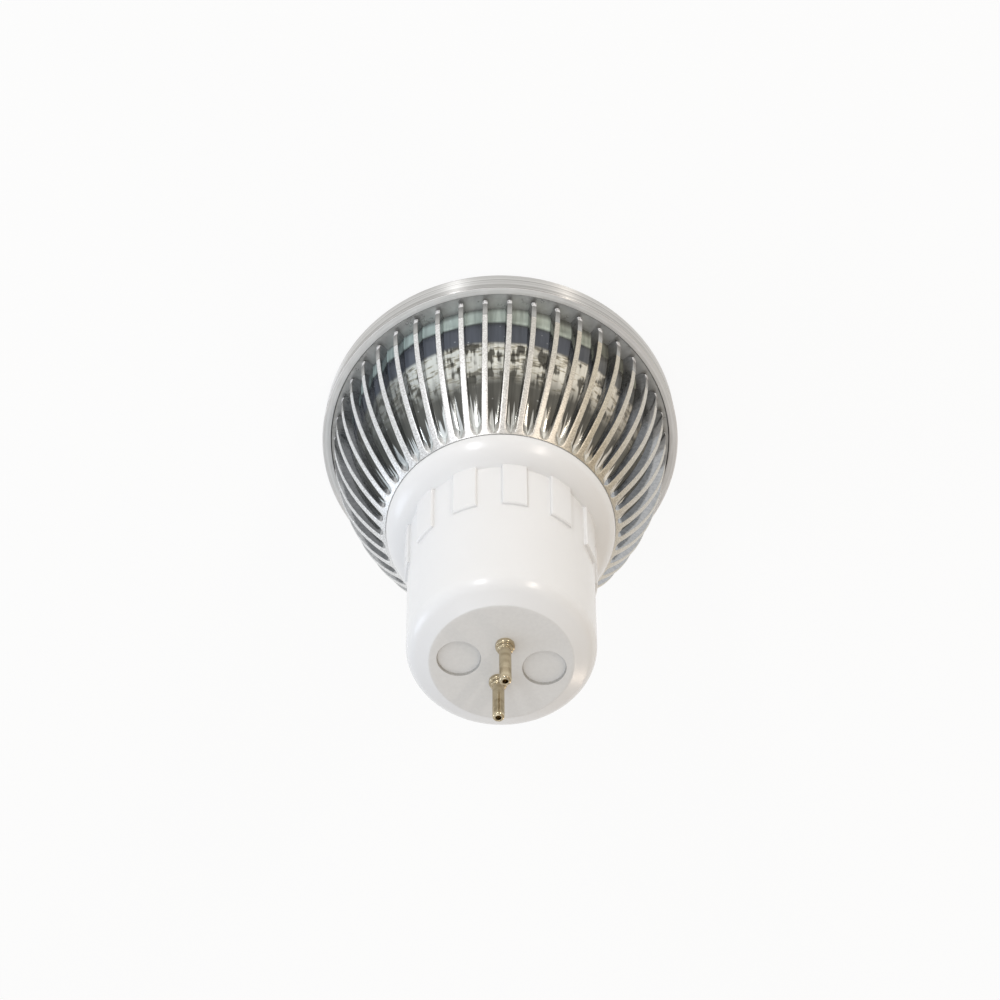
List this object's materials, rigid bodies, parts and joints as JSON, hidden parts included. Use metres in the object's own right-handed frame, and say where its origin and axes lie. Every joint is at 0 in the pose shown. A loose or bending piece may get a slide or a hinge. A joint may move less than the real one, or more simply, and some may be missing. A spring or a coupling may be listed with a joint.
{
  "type": "led spotlight bulb",
  "caption": "Reflector-style LED spotlight bulb with a finned aluminium bowl, a turned front ring with clear glass, a white moulded base and two contact pins.",
  "frame": {"origin": "centre of the front ring's face, which is the plane the bulb stands on", "axes": "+Z along the bulb's axis from the front glass towards the contact pins; the pins stand in line along Y, the base's two dimples in line along X"},
  "size_m": [0.05, 0.05, 0.0567],
  "materials": {
    "turned_aluminium": "turned, fine concentric lines",
    "cast_aluminium": "polished grooves with satin fin edges",
    "clear_glass": "polished",
    "clear_silicone": "matte",
    "white_plastic": "moulded, glossy",
    "black_plastic": "moulded, fine texture",
    "clear_acrylic": "moulded, clear",
    "white_board": "white solder mask on aluminium",
    "grey_pad": "soft sheet",
    "steel": "zinc plated",
    "nickel_brass": "nickel plated, pale champagne",
    "green_board": "solder mask",
    "can_sleeve": "printed film over an aluminium can, left plain",
    "ferrite": "pressed and sintered",
    "copper_wire": "enamelled copper",
    "chip_black": "moulded",
    "chip_tan": "fired ceramic",
    "emitter": "yellow phosphor under a clear dome",
    "fibre_disc": "pressed fibre sheet",
    "red_insulation": "smooth",
    "black_insulation": "smooth"
  },
  "bodies": {
    "root": {"front_ring": "turned_aluminium", "front_glass": "clear_glass", "glass_gasket": "clear_silicone", "lens_holder": "black_plastic", "led_board": "white_board", "thermal_pad": "grey_pad", "board_screws": "steel", "heat_sink": "cast_aluminium", "housing_screws": "steel", "base_housing": "white_plastic", "contact_pin_a": "nickel_brass", "contact_pin_b": "nickel_brass", "driver_board": "green_board", "smoothing_capacitor": "can_sleeve", "inductor_core": "ferrite", "inductor_winding": "copper_wire", "bridge_rectifier": "chip_black", "driver_chip": "chip_black", "sense_resistor": "chip_black", "ceramic_capacitor": "chip_tan", "insulating_disc": "fibre_disc", "lead_positive": "red_insulation", "lead_negative": "black_insulation", "led_emitter_1": "emitter", "collimator_lens_1": "clear_acrylic", "led_emitter_2": "emitter", "collimator_lens_2": "clear_acrylic", "led_emitter_3": "emitter", "collimator_lens_3": "clear_acrylic", "led_emitter_4": "emitter", "collimator_lens_4": "clear_acrylic"}
  },
  "joints": []
}
